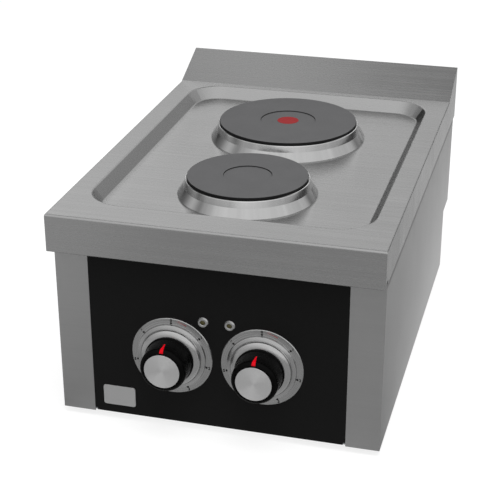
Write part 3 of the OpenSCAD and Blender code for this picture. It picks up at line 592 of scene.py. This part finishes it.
def dial_wedge(side, centre):
    """Red arc between 0 and 1, from a point at 0 to its whole width at 1."""
    shares = [i / wedge_steps for i in range(wedge_steps + 1)]
    angles = [radians(wedge_start + (wedge_end - wedge_start) * share) for share in shares]
    outline = [(wedge_radius * cos(a), wedge_radius * sin(a)) for a in angles]
    for share, a in reversed(list(zip(shares, angles))[1:]):
        r = wedge_radius - wedge_w * share
        outline.append((r * cos(a), r * sin(a)))
    shape = bmesh.new()
    prism(shape, outline, mark_t, facing_front(centre.x, dial_face, centre.z))
    mesh = from_bmesh(side + "_dial_wedge", shape)
    piece(side + "_dial_wedge", mesh, red_ink, "housing")


for side, centre in zip(("left", "right"), dial_centres):
    dial_turning(side, centre)
    dial_scale(side, centre)
    dial_wedge(side, centre)


# ---- Red dot of the fast rear plate, enamelled on the floor of its recess ----

recess_depth = 1.2 * MM
enamel_r, enamel_t, enamel_steps = 14 * MM, 0.15 * MM, 96
centre = plate_centres[1]
shape = bmesh.new()
disc(shape, enamel_r, enamel_t,
     Matrix.Translation((centre.x, centre.y, rear_plate_top - recess_depth)), enamel_steps)
piece("rear_plate_red_dot", from_bmesh("rear_plate_red_dot", shape), red_enamel, "housing")


# ---- Blank badge plate, low on the left of the fascia ----

badge_w, badge_h, badge_t = 40 * MM, 26 * MM, 1 * MM
badge_corner, corner_steps = 3 * MM, 6
badge_in, badge_up = 32 * MM, 24 * MM
badge_edge, edge_steps = 0.3 * MM, 2
shape = bmesh.new()
prism(shape, rounded_outline(badge_w, badge_h, badge_corner, corner_steps), badge_t,
      facing_front(fascia_low.x + badge_in, fascia_low.y, fascia_low.z + badge_up))
front_edges = [e for e in shape.edges
               if all(v.co.y < fascia_low.y - badge_t / 2 for v in e.verts)]
bmesh.ops.bevel(shape, geom=front_edges, offset=badge_edge, segments=edge_steps, profile=0.5,
                affect="EDGES", material=-1)
piece("blank_badge", from_bmesh("blank_badge", shape), badge_finish(), "housing")


# ---- Floor ----

floor_size = 14
floor_grey = 0.265
floor_white = 0.8

# What metal mirrors of the floor: a pool of light round and behind the part that fades to the
# sides, and a weak strip before it on the left
pool_slope = 3
pool_start, pool_end, pool_curve = -0.87, -0.3, 0.5
pool_least, pool_most = 0.02, 0.55
pool_near, pool_far, pool_side = 0.3, 0.8, 0.3
front_start, front_end = -0.35, -0.2
strip_level, strip_left, strip_right = 0.12, -0.4, -0.22


def make_floor():
    """Pale floor that takes shadows, is white to the camera, and lights metal from behind."""
    shape = bmesh.new()
    bmesh.ops.create_grid(shape, x_segments=1, y_segments=1, size=floor_size / 2)
    floor = add_to_scene("floor", from_bmesh("floor", shape))
    paper = Finish("floor paper", (floor_grey,) * 3, Roughness=1.0, Specular_IOR_Level=0.0)
    x, y, _ = paper.split(paper.place())
    aside = paper.math("ABSOLUTE", x)
    slant = paper.math("SUBTRACT", y, paper.times(aside, pool_slope))
    rise = paper.math("POWER", paper.rising(slant, pool_start, pool_end), pool_curve)
    pool = paper.times(paper.ranged(rise, pool_least, pool_most, 0, 1),
                       paper.ranged(aside, 1, pool_side, pool_near, pool_far))
    strip = paper.ranged(x, strip_level, 0, strip_left, strip_right)
    glow = paper.mix(paper.rising(y, front_start, front_end), strip, pool)
    path = paper.add("LightPath").outputs
    mirrored = paper.largest(path["Is Glossy Ray"], path["Is Transmission Ray"])
    seen = paper.largest(paper.times(path["Is Camera Ray"], floor_white),
                         paper.times(mirrored, glow))
    light = paper.add("Emission", {"Strength": seen})
    lit = paper.add("AddShader", {0: paper.shader.outputs[0], 1: light.outputs[0]})
    paper.feed(paper.tree.nodes["Material Output"].inputs["Surface"], lit.outputs[0])
    floor.data.materials.append(paper.material)


# ---- Studio ----

# Brightness by bearing in degrees, in three rings one over the other: 0 is before the part and
# 90 on its right
horizon = ((-180, 0.1), (-160, 0.04), (-125, 0.05), (-112, 0.15), (-94, 0.5), (-80, 0.15),
           (-60, 0.45), (-15, 0.55), (2, 0.85), (30, 0.8), (60, 0.6), (120, 0.4), (135, 0.12),
           (152, 0.36), (180, 0.1))
walls = ((-180, 0.84), (-163, 0.94), (-152, 1.0), (-128, 0.4), (-110, 0.2), (-92, 0.6),
         (-76, 0.25), (-50, 0.6), (-25, 0.75), (85, 0.78), (105, 0.62), (140, 0.62), (160, 0.8),
         (180, 0.84))
ceiling = ((-180, 0.22), (-162, 0.22), (-153, 0.8), (-141, 0.2), (-90, 0.7), (-45, 0.85),
           (45, 0.85), (90, 0.75), (150, 0.3), (180, 0.22))

# Heights at which one ring turns into the next, as sines of the angle up
walls_start, walls_whole = 0.18, 0.33
ceiling_start, ceiling_whole = 0.45, 0.85
zenith_start, zenith_whole, zenith_level = 0.975, 1, 0.9


def make_world():
    """Soft studio with panels all round, white to the camera."""
    world = bpy.data.worlds.new("studio")
    bpy.context.scene.world = world
    world.use_nodes = True
    graph = Graph(world.node_tree)
    x, y, up = graph.split(graph.add("TexCoord").outputs["Generated"])
    bearing = graph.math("ARCTAN2", x, graph.math("MULTIPLY", y, -1))
    turn = graph.rising(bearing, -pi, pi)

    def ring(levels):
        """Brightness by bearing along one ring of the studio."""
        ramp = graph.add("ValToRGB", {0: turn})
        stops = ramp.color_ramp.elements
        while len(stops) > 1:
            stops.remove(stops[-1])
        for i, (degrees, level) in enumerate(levels):
            position = (degrees + 180) / 360
            stop = stops.new(position) if i else stops[0]
            stop.position = position
            stop.color = (level, level, level, 1)
        return graph.add("RGBToBW", {0: ramp.outputs["Color"]}).outputs[0]

    sky = ring(horizon)
    for start, whole, above in ((walls_start, walls_whole, ring(walls)),
                                (ceiling_start, ceiling_whole, ring(ceiling)),
                                (zenith_start, zenith_whole, zenith_level)):
        sky = graph.mix(graph.rising(up, start, whole), sky, above)
    shown = graph.largest(sky, graph.add("LightPath").outputs["Is Camera Ray"])
    background = world.node_tree.nodes["Background"]
    background.inputs["Color"].default_value = (1, 1, 1, 1)
    graph.feed(background.inputs["Strength"], shown)


# ---- Lamp and camera ----

key_place, key_target = Vector((0.3, -0.5, 2.3)), Vector((0, 0, 0.2))
key_size, key_power = 1.6, 42
camera_place = (0.384729, -1.548849, 0.860428)
camera_tilt, camera_turn = 65.1653, 15.0229
camera_lens, camera_sensor = 95.9207, 36


def make_key():
    """A large soft lamp overhead that isn't mirrored in metal."""
    light = bpy.data.lights.new("key", "AREA")
    light.shape = "RECTANGLE"
    light.size = light.size_y = key_size
    light.energy = key_power
    holder = add_to_scene("key", light)
    holder.location = key_place
    holder.rotation_euler = (key_target - key_place).to_track_quat("-Z", "Y").to_euler()
    holder.visible_glossy = False


def make_camera():
    """Seen from the front, a little from the right and from above."""
    camera = bpy.data.cameras.new("camera")
    camera.sensor_width = camera_sensor
    camera.lens = camera_lens
    holder = add_to_scene("camera", camera)
    holder.location = camera_place
    holder.rotation_euler = (radians(camera_tilt), 0, radians(camera_turn))
    bpy.context.scene.camera = holder


make_floor()
make_world()
make_key()
make_camera()
bpy.context.scene.view_settings.view_transform = "Standard"
